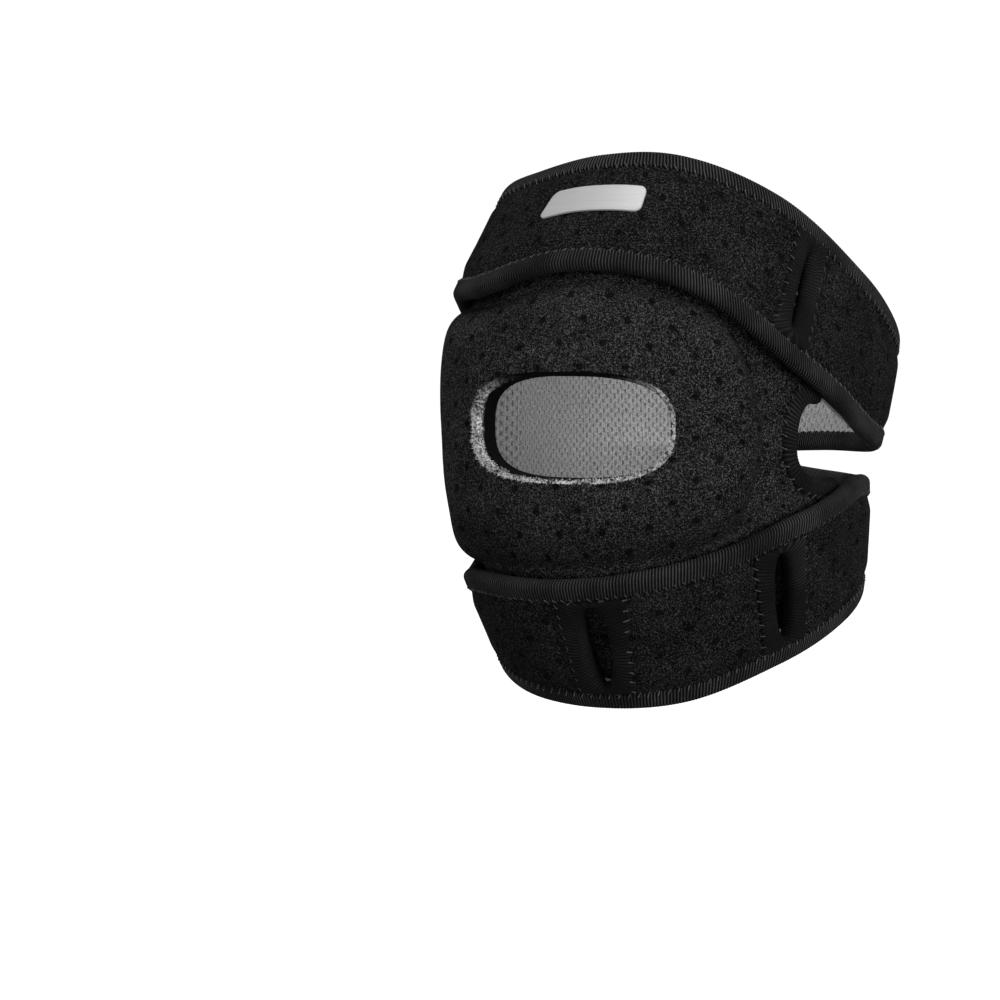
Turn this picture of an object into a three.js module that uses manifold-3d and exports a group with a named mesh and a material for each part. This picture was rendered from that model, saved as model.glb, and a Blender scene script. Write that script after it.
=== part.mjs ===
// Open-kneecap knee strap, worn round a knee: a padded panel with an oval kneecap window
// and two wide straps that cross the panel above and below the kneecap and close at the back.
// Millimetres. The origin is the middle of the leg's hollow, level with the kneecap window.
// -Y is the front of the knee and +Z is up the leg. Angles are degrees round the leg
// from the front, positive towards +X.
import * as THREE from "three";
import { mergeVertices } from "three/addons/utils/BufferGeometryUtils.js";
import Module from "manifold-3d";

const wasm = await Module();
wasm.setup();

// Driving sizes
const kneeRadius = 68; // front of the pad to the middle of the leg
const halfHeight = 74; // kneecap window's centre to the straps' outer edges at the front

// Cloth and tape
const gap = 0.3; // left between pieces that lie on each other
const strapCloth = 2.4; // foam sheet faced with loop cloth
const liningCloth = 1.0; // knitted mesh on the leg's side
const panelCloth = 2.6; // the panel's foam sheet, without its padding
const tapeCloth = 0.8; // ribbed edge tape
const tapeWidth = 4.6; // width of the tape on each face
const bentTapeSlack = 0.15; // more gap under the tapes that bend round a slot or the notch
const slotTapeWidth = 3.6;
const slotTapeTuck = 0.25; // share of that width left at a slot's ends

// Kneecap pad
const padRise = 10.5; // how far the padding swells in front of the panel
const padFullness = 5; // how squarely the padding swells between the straps
const padLeftFullness = 9; // more of it at the left, past 20 to 60 degrees
const padLeftRound = 0.42; // share of a rounder swelling mixed in there
const padEdge = 0.965; // where the padding ends, as a share of the way to a strap's edge
const padInsideShare = 0.72; // share of that swelling that the leg's side follows
const padLeftEnd = -84;
const padRightEnd = 49;
const padShoulder = 15; // degrees over which the padding fades out
const padRightShoulder = 8;
const panelStart = -166; // the panel runs round the left side to the back
const panelEnd = 121; // its right wings stop behind the side gap
const hiddenShare = 0.88; // how far the panel runs under each strap, as a share of the strap's width

// Kneecap window
const windowWidth = 60;
const windowHeight = 29;
const windowSquareness = 2.8; // 2 is an ellipse
const windowAngle = 1.5; // its middle, round the leg
const windowRim = 1.0; // thickness of the fuzzy cut edge

// Closure
const strapSeam = -170; // where each strap's two ends meet
const seamGap = 0.5;
const tabLength = 30; // hook tab that laps over the two ends
const tabCloth = 1.4;
const tabBottom = 0.22; // shares of the strap's width
const tabTop = 0.78;

// Label patch: bare, on the upper strap, in shares of the strap's width
const labelLength = 30.8;
const labelAngle = 1.9;
const labelBottom = 0.45;
const labelTop = 0.675;
const labelSlant = 2.2;
const labelCorner = 2.0;
const labelCloth = 0.6;

// Strap outlines, a row for every 30 degrees round the leg. Heights are shares of halfHeight
// and radii shares of kneeRadius, to the outer face of the edge tape.
const upperOutline = [
  // angle, top height, bottom height, top radius, bottom radius
  [-180, 0.285, -0.145, 0.955, 0.805],
  [-150, 0.295, -0.14, 0.91, 0.8],
  [-120, 0.43, -0.105, 0.88, 0.84],
  [-90, 0.685, 0.125, 0.82, 0.84],
  [-60, 0.865, 0.44, 0.725, 0.915],
  [-30, 0.925, 0.49, 0.655, 0.98],
  [0, 0.97, 0.575, 0.645, 0.935],
  [30, 0.955, 0.495, 0.68, 0.925],
  [60, 0.815, 0.19, 0.77, 0.94],
  [90, 0.545, -0.03, 0.875, 0.875],
  [120, 0.315, -0.115, 0.965, 0.88],
  [150, 0.275, -0.13, 0.985, 0.845],
];
const lowerOutline = [
  // angle, top height, bottom height, top radius, bottom radius
  [-180, -0.195, -0.665, 0.83, 0.82],
  [-150, -0.2, -0.66, 0.83, 0.825],
  [-120, -0.295, -0.725, 0.845, 0.82],
  [-90, -0.44, -0.85, 0.855, 0.79],
  [-60, -0.57, -0.94, 0.875, 0.735],
  [-30, -0.56, -1.005, 0.97, 0.705],
  [0, -0.565, -1.02, 0.985, 0.715],
  [30, -0.485, -0.985, 0.96, 0.735],
  [60, -0.325, -0.86, 0.935, 0.77],
  [90, -0.215, -0.73, 0.85, 0.795],
  [120, -0.23, -0.645, 0.83, 0.81],
  [150, -0.225, -0.66, 0.83, 0.815],
];

// Edge of the side notch, from the upper wing round the notch's nose to the lower wing.
// Across is -1 at the lower strap's edge and 1 at the upper strap's edge.
const notchOutline = [
  // angle, across
  [124, 1.16],
  [100, 1.14],
  [85, 1.12],
  [76, 1.08],
  [70.4, 0.99],
  [65.6, 0.8],
  [62, 0.44],
  [60.8, -0.04],
  [62, -0.32],
  [65.4, -0.52],
  [71, -0.68],
  [78, -0.84],
  [88, -1.02],
  [102, -1.1],
  [124, -1.12],
];

const notchTapeReach = 1; // the notch's tape stops here, under the straps

// Finger slots through the straps, with their tape
const slots = [
  { name: "upper_side_slot_tape", strap: "upper", low: [56.8, 0.2], high: [67.6, 0.8], width: 1.6 },
  { name: "lower_front_slot_tape", strap: "lower", low: [5.2, 0.19], high: [5.6, 0.81], width: 6.6 },
  { name: "lower_side_slot_tape", strap: "lower", low: [59.6, 0.19], high: [53.6, 0.81], width: 3.8 },
];

const colours = {
  loop_cloth: 0x1b1b1c,
  edge_tape: 0x101011,
  mesh_lining: 0x77787a,
  cut_edge: 0xb4b5b6,
  label: 0xb9babb,
};

const turn = 360; // degrees
const rowStep = turn / upperOutline.length; // degrees between the outlines' rows
const sectionStep = 9; // degrees between the sheets' sections
// Where the panel has twice as many sections: round its notch and at the padding's two ends
const finerStretches = [[-81, -54], [36, 99]];

// Angles round the leg at which every sheet has a section
function sectionAngles(start, end, stretches = []) {
  const first = Math.ceil((start + 1) / sectionStep) * sectionStep;
  const angles = [start];
  for (let angle = first; angle < end - 1; angle += sectionStep) {
    angles.push(angle);
    const finer = stretches.some(([from, to]) => angle >= from && angle < to);
    if (finer) angles.push(angle + sectionStep / 2);
  }
  return [...angles, end];
}

// A column of an outline at any angle, as a smooth closed curve through its rows
function outlineAt(outline, column, angle) {
  const place = THREE.MathUtils.euclideanModulo(angle + turn / 2, turn) / rowStep;
  const row = Math.floor(place);
  const share = place - row;
  const value = (k) => outline[(row + k + outline.length) % outline.length][column];
  const [before, from, to, after] = [value(-1), value(0), value(1), value(2)];
  const bend = 2 * before - 5 * from + 4 * to - after;
  const twist = 3 * (from - to) + after - before;
  return from + 0.5 * share * (to - before + share * (bend + share * twist));
}

function onCircle(radius, height, angle) {
  const radians = THREE.MathUtils.degToRad(angle);
  return new THREE.Vector3(radius * Math.sin(radians), -radius * Math.cos(radians), height);
}

// A strap as a sheet: along is the angle, across runs 0 to 1 from its bottom edge to its top
// edge, and out is the distance outwards from its outer face.
function strapSheet(outline) {
  function section(angle) {
    const edge = (heightColumn, radiusColumn) =>
      new THREE.Vector2(
        outlineAt(outline, radiusColumn, angle) * kneeRadius - gap - tapeCloth,
        outlineAt(outline, heightColumn, angle) * halfHeight,
      );
    const top = edge(1, 3);
    const bottom = edge(2, 4);
    const run = top.clone().sub(bottom);
    const outward = new THREE.Vector2(run.y, -run.x).normalize();
    return { bottom, run, outward, width: run.length() };
  }
  function at(angle, across, out) {
    const { bottom, run, outward } = section(angle);
    const point = bottom.clone().addScaledVector(run, across).addScaledVector(outward, out);
    return onCircle(point.x, point.y, angle);
  }
  function scale(angle, across) {
    const { bottom, run, width } = section(angle);
    const radius = bottom.x + run.x * across;
    return { perDegree: THREE.MathUtils.degToRad(radius), perAcross: width };
  }
  return { at, scale };
}

const upper = strapSheet(upperOutline);
const lower = strapSheet(lowerOutline);
const strapStack = strapCloth + gap + liningCloth + gap + tapeCloth;
const notchTapeRoom = gap + bentTapeSlack + tapeCloth;
// How far the panel's outer face lies under the straps' outer faces
const panelDepth = strapStack + notchTapeRoom + gap;

// How much of the padding's swelling there is at an angle, 0 to 1
function padShare(angle) {
  const left = THREE.MathUtils.smoothstep(angle, padLeftEnd, padLeftEnd + padShoulder);
  const right = THREE.MathUtils.smoothstep(angle, padRightEnd - padRightShoulder, padRightEnd);
  return left * (1 - right);
}

// The panel as a sheet: across runs -1 to 1 between the two straps' edges, and past that it
// lies under them. Out is measured from its outer face, and inside says whose swelling it has.
function panelPoint(angle, across, out, swelling) {
  if (across >= 1) {
    const point = upper.at(angle, across - 1, -panelDepth);
    return pushOut(point, angle, out);
  }
  if (across <= -1) {
    const point = lower.at(angle, across + 2, -panelDepth);
    return pushOut(point, angle, out);
  }
  const top = upper.at(angle, 0, -panelDepth);
  const bottom = lower.at(angle, 1, -panelDepth);
  const point = bottom.lerp(top, (across + 1) / 2);
  const leftShare = THREE.MathUtils.smoothstep(-angle, 20, 60);
  const towardsStrap = Math.min(Math.abs(across) / padEdge, 1);
  const square = towardsStrap ** (padFullness + padLeftFullness * leftShare);
  const fall = THREE.MathUtils.lerp(square, towardsStrap ** 2, padLeftRound * leftShare);
  return pushOut(point, angle, out + padRise * swelling * (1 - fall) * padShare(angle));
}

function pushOut(point, angle, distance) {
  return point.add(onCircle(distance, 0, angle));
}

const panelOuter = (angle, across, out) => panelPoint(angle, across, out, 1);
const panelInner = (angle, across, out) =>
  panelPoint(angle, across, out - panelCloth, padInsideShare);

function panelScale(angle, across) {
  const top = upper.at(angle, 0, -panelDepth);
  const bottom = lower.at(angle, 1, -panelDepth);
  const middle = panelOuter(angle, across, 0);
  const radius = Math.hypot(middle.x, middle.y);
  return { perDegree: THREE.MathUtils.degToRad(radius), perAcross: top.distanceTo(bottom) / 2 };
}

// A closed mesh from rings of points: each ring is one section, joined to the next.
// capFaces lists a section's own faces, as point numbers, for the two open ends.
function sweep(rings, capFaces) {
  const size = rings[0].length;
  const positions = rings.flat().flatMap((point) => point.toArray());
  const index = [];
  const count = rings.length;
  const steps = capFaces ? count - 1 : count;
  for (let ring = 0; ring < steps; ring += 1) {
    for (let k = 0; k < size; k += 1) {
      const a = ring * size + k;
      const b = ring * size + ((k + 1) % size);
      const c = ((ring + 1) % count) * size + ((k + 1) % size);
      const d = ((ring + 1) % count) * size + k;
      // Both faces of a sheet are split the same way, so that sheets nest
      if (k < size / 2) index.push(a, b, c, a, c, d);
      else index.push(a, b, d, b, c, d);
    }
  }
  if (capFaces) {
    const last = (count - 1) * size;
    for (const [a, b, c] of capFaces) {
      index.push(a, c, b, last + a, last + b, last + c);
    }
  }
  const geometry = new THREE.BufferGeometry();
  geometry.setAttribute("position", new THREE.Float32BufferAttribute(positions, 3));
  geometry.setIndex(index);
  return facingOut(geometry);
}

function facingOut(geometry) {
  const merged = mergeVertices(geometry, 1e-4);
  const solid = solidOf(merged);
  if (solid.volume() >= 0) return solid;
  const index = merged.index.array;
  for (let k = 0; k < index.length; k += 3) {
    const second = index[k + 1];
    index[k + 1] = index[k + 2];
    index[k + 2] = second;
  }
  return solidOf(merged);
}

function solidOf(geometry) {
  return new wasm.Manifold(
    new wasm.Mesh({
      numProp: 3,
      vertProperties: geometry.attributes.position.array,
      triVerts: new Uint32Array(geometry.index.array),
    }),
  );
}

function meshOf(name, solid, slot) {
  const { vertProperties, triVerts } = solid.getMesh();
  const geometry = new THREE.BufferGeometry();
  geometry.setAttribute("position", new THREE.BufferAttribute(new Float32Array(vertProperties), 3));
  geometry.setIndex(new THREE.BufferAttribute(new Uint32Array(triVerts), 1));
  geometry.computeVertexNormals();
  const material = new THREE.MeshStandardMaterial({
    color: colours[slot],
    roughness: slot === "label" ? 0.4 : 0.95,
    metalness: slot === "label" ? 0.3 : 0,
  });
  const mesh = new THREE.Mesh(geometry, material);
  mesh.name = name;
  return mesh;
}

// A sheet of cloth: rows of points across it, on its outer and its inner face
function clothSheet(angles, acrossRows, outerFace, innerFace) {
  const rows = acrossRows.length;
  const rings = angles.map((angle) => [
    ...acrossRows.map((across) => outerFace(angle, across)),
    ...acrossRows.toReversed().map((across) => innerFace(angle, across)),
  ]);
  const capFaces = [];
  for (let k = 0; k < rows - 1; k += 1) {
    const opposite = 2 * rows - 1 - k;
    capFaces.push([k, k + 1, opposite], [k + 1, opposite - 1, opposite]);
  }
  return sweep(rings, capFaces);
}

function evenly(from, to, steps) {
  return Array.from({ length: steps + 1 }, (_, k) => from + ((to - from) * k) / steps);
}

// A tool for cutting: an outline on a sheet, drawn through it from one depth to another,
// in enough steps that its walls stay square to the sheet
function through(outline, place, from, to) {
  const longestStep = 6;
  const depths = evenly(from, to, Math.ceil((from - to) / longestStep));
  const flat = outline.map(([angle, across]) => new THREE.Vector2(angle, across));
  const faces = THREE.ShapeUtils.triangulateShape(flat, []);
  const rings = depths.map((out) => outline.map(([angle, across]) => place(angle, across, out)));
  if (THREE.ShapeUtils.isClockWise(flat)) {
    faces.forEach((face) => face.reverse());
  }
  return sweep(rings, faces);
}

// Folded tape round an edge. Each stop of the path has its place on the sheet and the direction
// into the cloth; the tape has a leg on each face and a fold past the edge. Bends is how many
// stretches a leg has, so that it can follow a curved face.
function foldedTape(path, place, outerFace, innerFace, width, { closed = false, bends = 1 } = {}) {
  const legStops = evenly(width, -gap, bends);
  const legBack = evenly(-gap - 0.6 * tapeCloth, width, bends);
  const rings = path.map(({ angle, across, intoAngle, intoAcross, narrowing = 1 }) => {
    const corner = (length, side, out) => {
      const into = length > 0 ? length * narrowing : length;
      const face = side > 0 ? outerFace : innerFace;
      return place(angle + intoAngle * into, across + intoAcross * into, side, face + out);
    };
    return [
      ...legStops.map((into) => corner(into, 1, gap)),
      ...legStops.toReversed().map((into) => corner(into, -1, -gap)),
      ...legBack.toReversed().map((into) => corner(into, -1, -gap - tapeCloth)),
      ...legBack.map((into) => corner(into, 1, gap + tapeCloth)),
    ];
  });
  return sweep(rings, closed ? null : tapeEnd(bends + 1));
}

// The end of a folded tape, cut square: each leg in strips and the fold between them
function tapeEnd(stops) {
  const total = 4 * stops;
  const faces = [];
  for (let k = 0; k < stops - 1; k += 1) {
    const outside = total - 1 - k;
    faces.push([k, k + 1, outside - 1], [k, outside - 1, outside]);
    const inner = stops + k;
    const inside = 3 * stops - 1 - k;
    faces.push([inner, inner + 1, inside - 1], [inner, inside - 1, inside]);
  }
  const outerHeel = stops - 1;
  const innerHeel = stops;
  faces.push([outerHeel, innerHeel, 3 * stops], [innerHeel, 3 * stops - 1, 3 * stops]);
  return faces;
}

// Stops along a path on a sheet, each with the direction to its left, in millimetres
function pathStops(points, scaleAt, closed) {
  const count = points.length;
  return points.map(([angle, across], k) => {
    const before = points[closed ? (k - 1 + count) % count : Math.max(k - 1, 0)];
    const after = points[closed ? (k + 1) % count : Math.min(k + 1, count - 1)];
    const { perDegree, perAcross } = scaleAt(angle, across);
    const run = new THREE.Vector2(
      (after[0] - before[0]) * perDegree,
      (after[1] - before[1]) * perAcross,
    ).normalize();
    return { angle, across, intoAngle: -run.y / perDegree, intoAcross: run.x / perAcross };
  });
}

const strapAngles = sectionAngles(strapSeam + seamGap, strapSeam + turn - seamGap);
const liningFace = -strapCloth - gap;
const strapInnerFace = liningFace - liningCloth;

function strapSlots(strapName) {
  return slots.filter(({ strap }) => strap === strapName);
}

// A slot's outline: a lens between its two ends, widest in the middle
function slotOutline(slot, sheet, margin) {
  const [lowAngle, lowAcross] = slot.low;
  const [highAngle, highAcross] = slot.high;
  const middleAcross = (lowAcross + highAcross) / 2;
  const middleAngle = (lowAngle + highAngle) / 2;
  const { perDegree, perAcross } = sheet.scale(middleAngle, middleAcross);
  const halfLength = ((highAcross - lowAcross) * perAcross) / 2;
  const lean = (highAngle - lowAngle) / (highAcross - lowAcross);
  const steps = 20;
  return Array.from({ length: steps }, (_, k) => {
    const round = (k / steps) * 2 * Math.PI;
    const sideways = Math.sign(Math.cos(round)) * Math.abs(Math.cos(round)) ** 0.8;
    const along = Math.sin(round) * (halfLength + margin);
    const aside = sideways * (slot.width / 2 + margin);
    const across = middleAcross + along / perAcross;
    return [middleAngle + lean * (across - middleAcross) + aside / perDegree, across];
  });
}

const tapeShare = 0.12; // about the edge tapes' share of a strap's width

function strapLayer(sheet, strapName, outerFace, innerFace) {
  const rows = [0, tapeShare, 0.5, 1 - tapeShare, 1];
  const layer = clothSheet(
    strapAngles,
    rows,
    (angle, across) => sheet.at(angle, across, outerFace),
    (angle, across) => sheet.at(angle, across, innerFace),
  );
  const reach = 4; // past both faces
  return strapSlots(strapName).reduce((cloth, slot) => {
    const outline = slotOutline(slot, sheet, tapeCloth + gap);
    return cloth.subtract(through(outline, sheet.at, reach, strapInnerFace - reach));
  }, layer);
}

function strapTapePlace(sheet) {
  return (angle, across, side, out) => sheet.at(angle, across, out);
}

// Edge tape along a strap's top or bottom edge
function strapEdgeTape(sheet, edge) {
  const points = strapAngles.map((angle) => [angle, edge]);
  const path = pathStops(points, sheet.scale, false).map((stop) => {
    const { perDegree, perAcross } = sheet.scale(stop.angle, edge);
    const step = 3;
    const rise = sheet.at(stop.angle + step, edge, 0).z - sheet.at(stop.angle - step, edge, 0).z;
    const slope = rise / (2 * step * perDegree);
    const widen = Math.sqrt(1 + slope * slope);
    return { ...stop, intoAngle: 0, intoAcross: ((edge === 1 ? -1 : 1) * widen) / perAcross };
  });
  return foldedTape(path, strapTapePlace(sheet), 0, strapInnerFace, tapeWidth);
}

// A slot's tape has its full width at the slot's sides and is tucked in at its two ends
function slotTape(slot, sheet) {
  const outline = slotOutline(slot, sheet, tapeCloth + gap).toReversed();
  const path = pathStops(outline, sheet.scale, true).map((stop, k) => {
    const sideways = Math.abs(Math.cos((2 * Math.PI * (k + 1)) / outline.length));
    return { ...stop, narrowing: Math.max(sideways, slotTapeTuck) };
  });
  return foldedTape(
    path,
    strapTapePlace(sheet),
    bentTapeSlack,
    strapInnerFace - bentTapeSlack,
    slotTapeWidth,
    { closed: true },
  );
}

// Hook tab on the outside that laps over the strap's two ends
function hookTab(sheet) {
  const halfAngle = tabLength / 2 / sheet.scale(strapSeam, 0.5).perDegree;
  const angles = sectionAngles(strapSeam - halfAngle, strapSeam + halfAngle);
  return clothSheet(
    angles,
    evenly(tabBottom, tabTop, 2),
    (angle, across) => sheet.at(angle, across, gap + tabCloth),
    (angle, across) => sheet.at(angle, across, gap),
  );
}

function labelPatch() {
  const { perDegree } = upper.scale(labelAngle, labelBottom);
  const half = labelLength / 2 / perDegree;
  const angles = sectionAngles(labelAngle - half - labelSlant, labelAngle + half + labelSlant);
  const patch = clothSheet(
    angles,
    evenly(labelBottom, labelTop, 2),
    (angle, across) => upper.at(angle, across, gap + labelCloth),
    (angle, across) => upper.at(angle, across, gap),
  );
  const { perAcross } = upper.scale(labelAngle, labelBottom);
  const cornerAngle = labelCorner / perDegree;
  const cornerAcross = labelCorner / perAcross;
  const corners = [
    [labelAngle + half - 0.75 * labelSlant, labelBottom, -1, 1],
    [labelAngle + half, labelTop, -1, -1],
    [labelAngle - half + labelSlant, labelTop, 1, -1],
    [labelAngle - half, labelBottom, 1, 1],
  ];
  const outline = corners.flatMap(([angle, across, inAngle, inAcross], k) =>
    evenly(0, 90, 3).map((degrees) => {
      const round = THREE.MathUtils.degToRad(k % 2 ? 90 - degrees : degrees);
      return [
        angle + inAngle * cornerAngle * (1 - Math.sin(round)),
        across + inAcross * cornerAcross * (1 - Math.cos(round)),
      ];
    }),
  );
  return patch.intersect(through(outline, upper.at, 4, -4));
}

const panelAngles = sectionAngles(panelStart, panelEnd, finerStretches);
const panelRows = [
  ...evenly(-1 - hiddenShare, -1, 1),
  -padEdge, -0.9, -0.77, -0.5, 0, 0.5, 0.77, 0.9, padEdge,
  ...evenly(1, 1 + hiddenShare, 1),
];

// The window's outline on the panel: an oval with nearly straight long sides
function windowOutline(margin) {
  const halfWidth = windowWidth / 2 + margin;
  const halfTall = windowHeight / 2 + margin;
  const bend = (value) => Math.sign(value) * Math.abs(value) ** (2 / windowSquareness);
  const { perDegree } = panelScale(windowAngle, 0);
  const steps = 36;
  return Array.from({ length: steps }, (_, k) => {
    const round = (-2 * Math.PI * k) / steps;
    const angle = windowAngle + (halfWidth * bend(Math.cos(round))) / perDegree;
    const height = halfTall * bend(Math.sin(round));
    const top = panelOuter(angle, 1, 0).z;
    const bottom = panelOuter(angle, -1, 0).z;
    return [angle, (2 * (height - bottom)) / (top - bottom) - 1];
  });
}

const notchCurve = new THREE.SplineCurve(notchOutline.map(([x, y]) => new THREE.Vector2(x, y)));
const notchPoints = notchCurve.getPoints(32).map(({ x, y }) => [x, y]);

function panelLayer(outerPlace, innerPlace) {
  const layer = clothSheet(panelAngles, panelRows, outerPlace, innerPlace);
  const reach = 24; // far enough that the cutting tools' flat ends miss the curved panel
  const kneecap = through(windowOutline(0), panelOuter, reach, -reach);
  const notch = through(notchPoints, panelOuter, reach, -reach);
  return layer.subtract(kneecap).subtract(notch);
}

function kneecapPanel() {
  return panelLayer(
    (angle, across) => panelOuter(angle, across, 0),
    (angle, across) => panelInner(angle, across, 0),
  );
}

function panelLining() {
  return panelLayer(
    (angle, across) => panelInner(angle, across, -gap),
    (angle, across) => panelInner(angle, across, -gap - liningCloth),
  );
}

// The window's cut edge: a thin rim round the hole, from the lining's face to the pad's face
function windowEdge() {
  const outerLoop = windowOutline(-gap);
  const innerLoop = windowOutline(-gap - windowRim);
  const rings = outerLoop.map(([angle, across], k) => {
    const [innerAngle, innerAcross] = innerLoop[k];
    return [
      panelOuter(angle, across, 0),
      panelOuter(innerAngle, innerAcross, -0.6 * windowRim),
      panelInner(innerAngle, innerAcross, -gap - liningCloth),
      panelInner(angle, across, -gap - liningCloth),
    ];
  });
  return sweep(rings, null);
}

// A place on the panel measured in the open part's units, also where it lies under a strap
function underStrap(angle, across) {
  const past = Math.abs(across) - 1;
  if (past <= 0) return across;
  const strapWidth = (across > 0 ? upper : lower).scale(angle, 0).perAcross;
  return Math.sign(across) * (1 + (past * panelScale(angle, 0).perAcross) / strapWidth);
}

// Tape round the side notch, which ends just under the two straps
function notchTape() {
  const shown = notchPoints.filter(([, across]) => Math.abs(across) < notchTapeReach);
  const path = pathStops(shown.toReversed(), panelScale, false);
  const place = (angle, across, side, out) => {
    const reached = underStrap(angle, across);
    return side > 0 ? panelOuter(angle, reached, out) : panelInner(angle, reached, out);
  };
  return foldedTape(
    path,
    place,
    bentTapeSlack,
    -gap - liningCloth - bentTapeSlack,
    tapeWidth,
    { bends: 3 },
  );
}

const brace = new THREE.Group();
brace.name = "knee_strap";

const pad = new THREE.Group();
pad.name = "panel";
pad.add(meshOf("kneecap_panel", kneecapPanel(), "loop_cloth"));
pad.add(meshOf("panel_lining", panelLining(), "mesh_lining"));
pad.add(meshOf("window_edge", windowEdge(), "cut_edge"));
pad.add(meshOf("side_notch_tape", notchTape(), "edge_tape"));
brace.add(pad);

for (const [strapName, sheet] of [["upper", upper], ["lower", lower]]) {
  const strap = new THREE.Group();
  strap.name = `${strapName}_strap_set`;
  const cloth = strapLayer(sheet, strapName, 0, -strapCloth);
  const lining = strapLayer(sheet, strapName, liningFace, strapInnerFace);
  strap.add(meshOf(`${strapName}_strap`, cloth, "loop_cloth"));
  strap.add(meshOf(`${strapName}_strap_lining`, lining, "mesh_lining"));
  strap.add(meshOf(`${strapName}_top_tape`, strapEdgeTape(sheet, 1), "edge_tape"));
  strap.add(meshOf(`${strapName}_bottom_tape`, strapEdgeTape(sheet, 0), "edge_tape"));
  strap.add(meshOf(`${strapName}_hook_tab`, hookTab(sheet), "loop_cloth"));
  for (const slot of strapSlots(strapName)) {
    strap.add(meshOf(slot.name, slotTape(slot, sheet), "edge_tape"));
  }
  brace.add(strap);
}
brace.getObjectByName("upper_strap_set").add(meshOf("label_patch", labelPatch(), "label"));

export default brace;
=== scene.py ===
"""Open-kneecap knee strap: a padded panel with a kneecap window, crossed by two wide straps.

Metres, in the CAD's frame: the origin is the middle of the leg's hollow, level with the
window, -Y is the front of the knee and +Z is up the leg. Angles are degrees round the leg
from the front, positive towards +X.
"""

import math
import random
from functools import lru_cache, partial

import bmesh
import bpy
from mathutils import Matrix, Vector, noise


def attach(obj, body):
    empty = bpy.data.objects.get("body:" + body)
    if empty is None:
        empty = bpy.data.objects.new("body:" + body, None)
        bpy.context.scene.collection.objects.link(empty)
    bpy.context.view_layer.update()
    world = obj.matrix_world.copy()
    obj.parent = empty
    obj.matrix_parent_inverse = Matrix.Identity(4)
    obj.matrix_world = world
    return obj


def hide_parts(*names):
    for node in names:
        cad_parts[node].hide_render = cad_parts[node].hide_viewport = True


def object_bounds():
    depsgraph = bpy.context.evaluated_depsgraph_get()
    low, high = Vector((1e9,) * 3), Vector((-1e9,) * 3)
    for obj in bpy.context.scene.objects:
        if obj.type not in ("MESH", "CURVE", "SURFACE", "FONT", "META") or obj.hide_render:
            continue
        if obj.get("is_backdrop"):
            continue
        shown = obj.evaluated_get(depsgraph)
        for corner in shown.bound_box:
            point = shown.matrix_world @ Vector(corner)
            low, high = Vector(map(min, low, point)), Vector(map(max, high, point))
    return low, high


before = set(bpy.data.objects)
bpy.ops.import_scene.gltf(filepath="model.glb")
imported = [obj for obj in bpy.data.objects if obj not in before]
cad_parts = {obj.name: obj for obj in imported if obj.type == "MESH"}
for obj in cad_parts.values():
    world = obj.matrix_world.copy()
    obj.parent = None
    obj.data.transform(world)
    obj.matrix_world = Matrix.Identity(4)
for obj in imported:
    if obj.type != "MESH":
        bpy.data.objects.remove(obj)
cad_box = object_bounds()


# The camera stands where the photograph was taken, a little to the right of the knee's front
# and just above its middle. The lens is long, and the shift puts the knee right of centre.
CAMERA_TARGET = Vector((0, 0, -0.0043))
CAMERA_AZIMUTH = math.radians(26)
CAMERA_ELEVATION = math.radians(2.2)
CAMERA_DISTANCE = 0.65


def placed(name, data):
    """A new object in the scene."""
    thing = bpy.data.objects.new(name, data)
    bpy.context.scene.collection.objects.link(thing)
    return thing


camera_lens = bpy.data.cameras.new("camera")
camera_lens.lens = 82.19
camera_lens.sensor_width = 36
camera_lens.shift_x = -0.1739
camera_lens.shift_y = -0.065
camera = placed("camera", camera_lens)
level = math.cos(CAMERA_ELEVATION)
towards_camera = Vector((math.sin(CAMERA_AZIMUTH) * level, -math.cos(CAMERA_AZIMUTH) * level, 0))
towards_camera.z = math.sin(CAMERA_ELEVATION)
camera.location = CAMERA_TARGET + towards_camera * CAMERA_DISTANCE
camera.rotation_euler = (-towards_camera).to_track_quat("-Z", "Y").to_euler()
bpy.context.scene.camera = camera


# The studio: an all-white surround, a pale floor far enough below that no shadow shows, and
# soft lamps above, low in front, behind and at both sides. A small lamp in the knee's hollow,
# which the camera doesn't see, lights the lining.
FLOOR_HEIGHT = -0.34
FLOOR_HALF_SIZE = 5.0
FILL_LIGHT = 0.25


class Wire:
    """A socket of a material's nodes. Sums of wires become Math nodes."""

    def __init__(self, finish, socket):
        self.finish = finish
        self.socket = socket

    def maths(self, operation, *values):
        places = dict(enumerate(values))
        return self.finish.node("ShaderNodeMath", {"operation": operation}, places)

    def __add__(self, other):
        return self.maths("ADD", self, other)

    __radd__ = __add__

    def __sub__(self, other):
        return self.maths("SUBTRACT", self, other)

    def __rsub__(self, other):
        return self.maths("SUBTRACT", other, self)

    def __mul__(self, other):
        return self.maths("MULTIPLY", self, other)

    __rmul__ = __mul__

    def __truediv__(self, other):
        return self.maths("DIVIDE", self, other)

    def __pow__(self, other):
        return self.maths("POWER", self, other)

    def part(self, name):
        """X, Y or Z of a vector."""
        return self.finish.node("ShaderNodeSeparateXYZ", {}, {0: self}, name)

    def off_half(self):
        """How far the wire's fraction is from a half."""
        fraction = self.maths("FRACT", self) - 0.5
        return fraction.maths("ABSOLUTE", fraction)

    def fade(self, start, end):
        """0 at start and 1 at end, smoothly."""
        return self.finish.node(
            "ShaderNodeMapRange",
            {"interpolation_type": "SMOOTHSTEP"},
            {"Value": self, "From Min": start, "From Max": end},
        )


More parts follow.
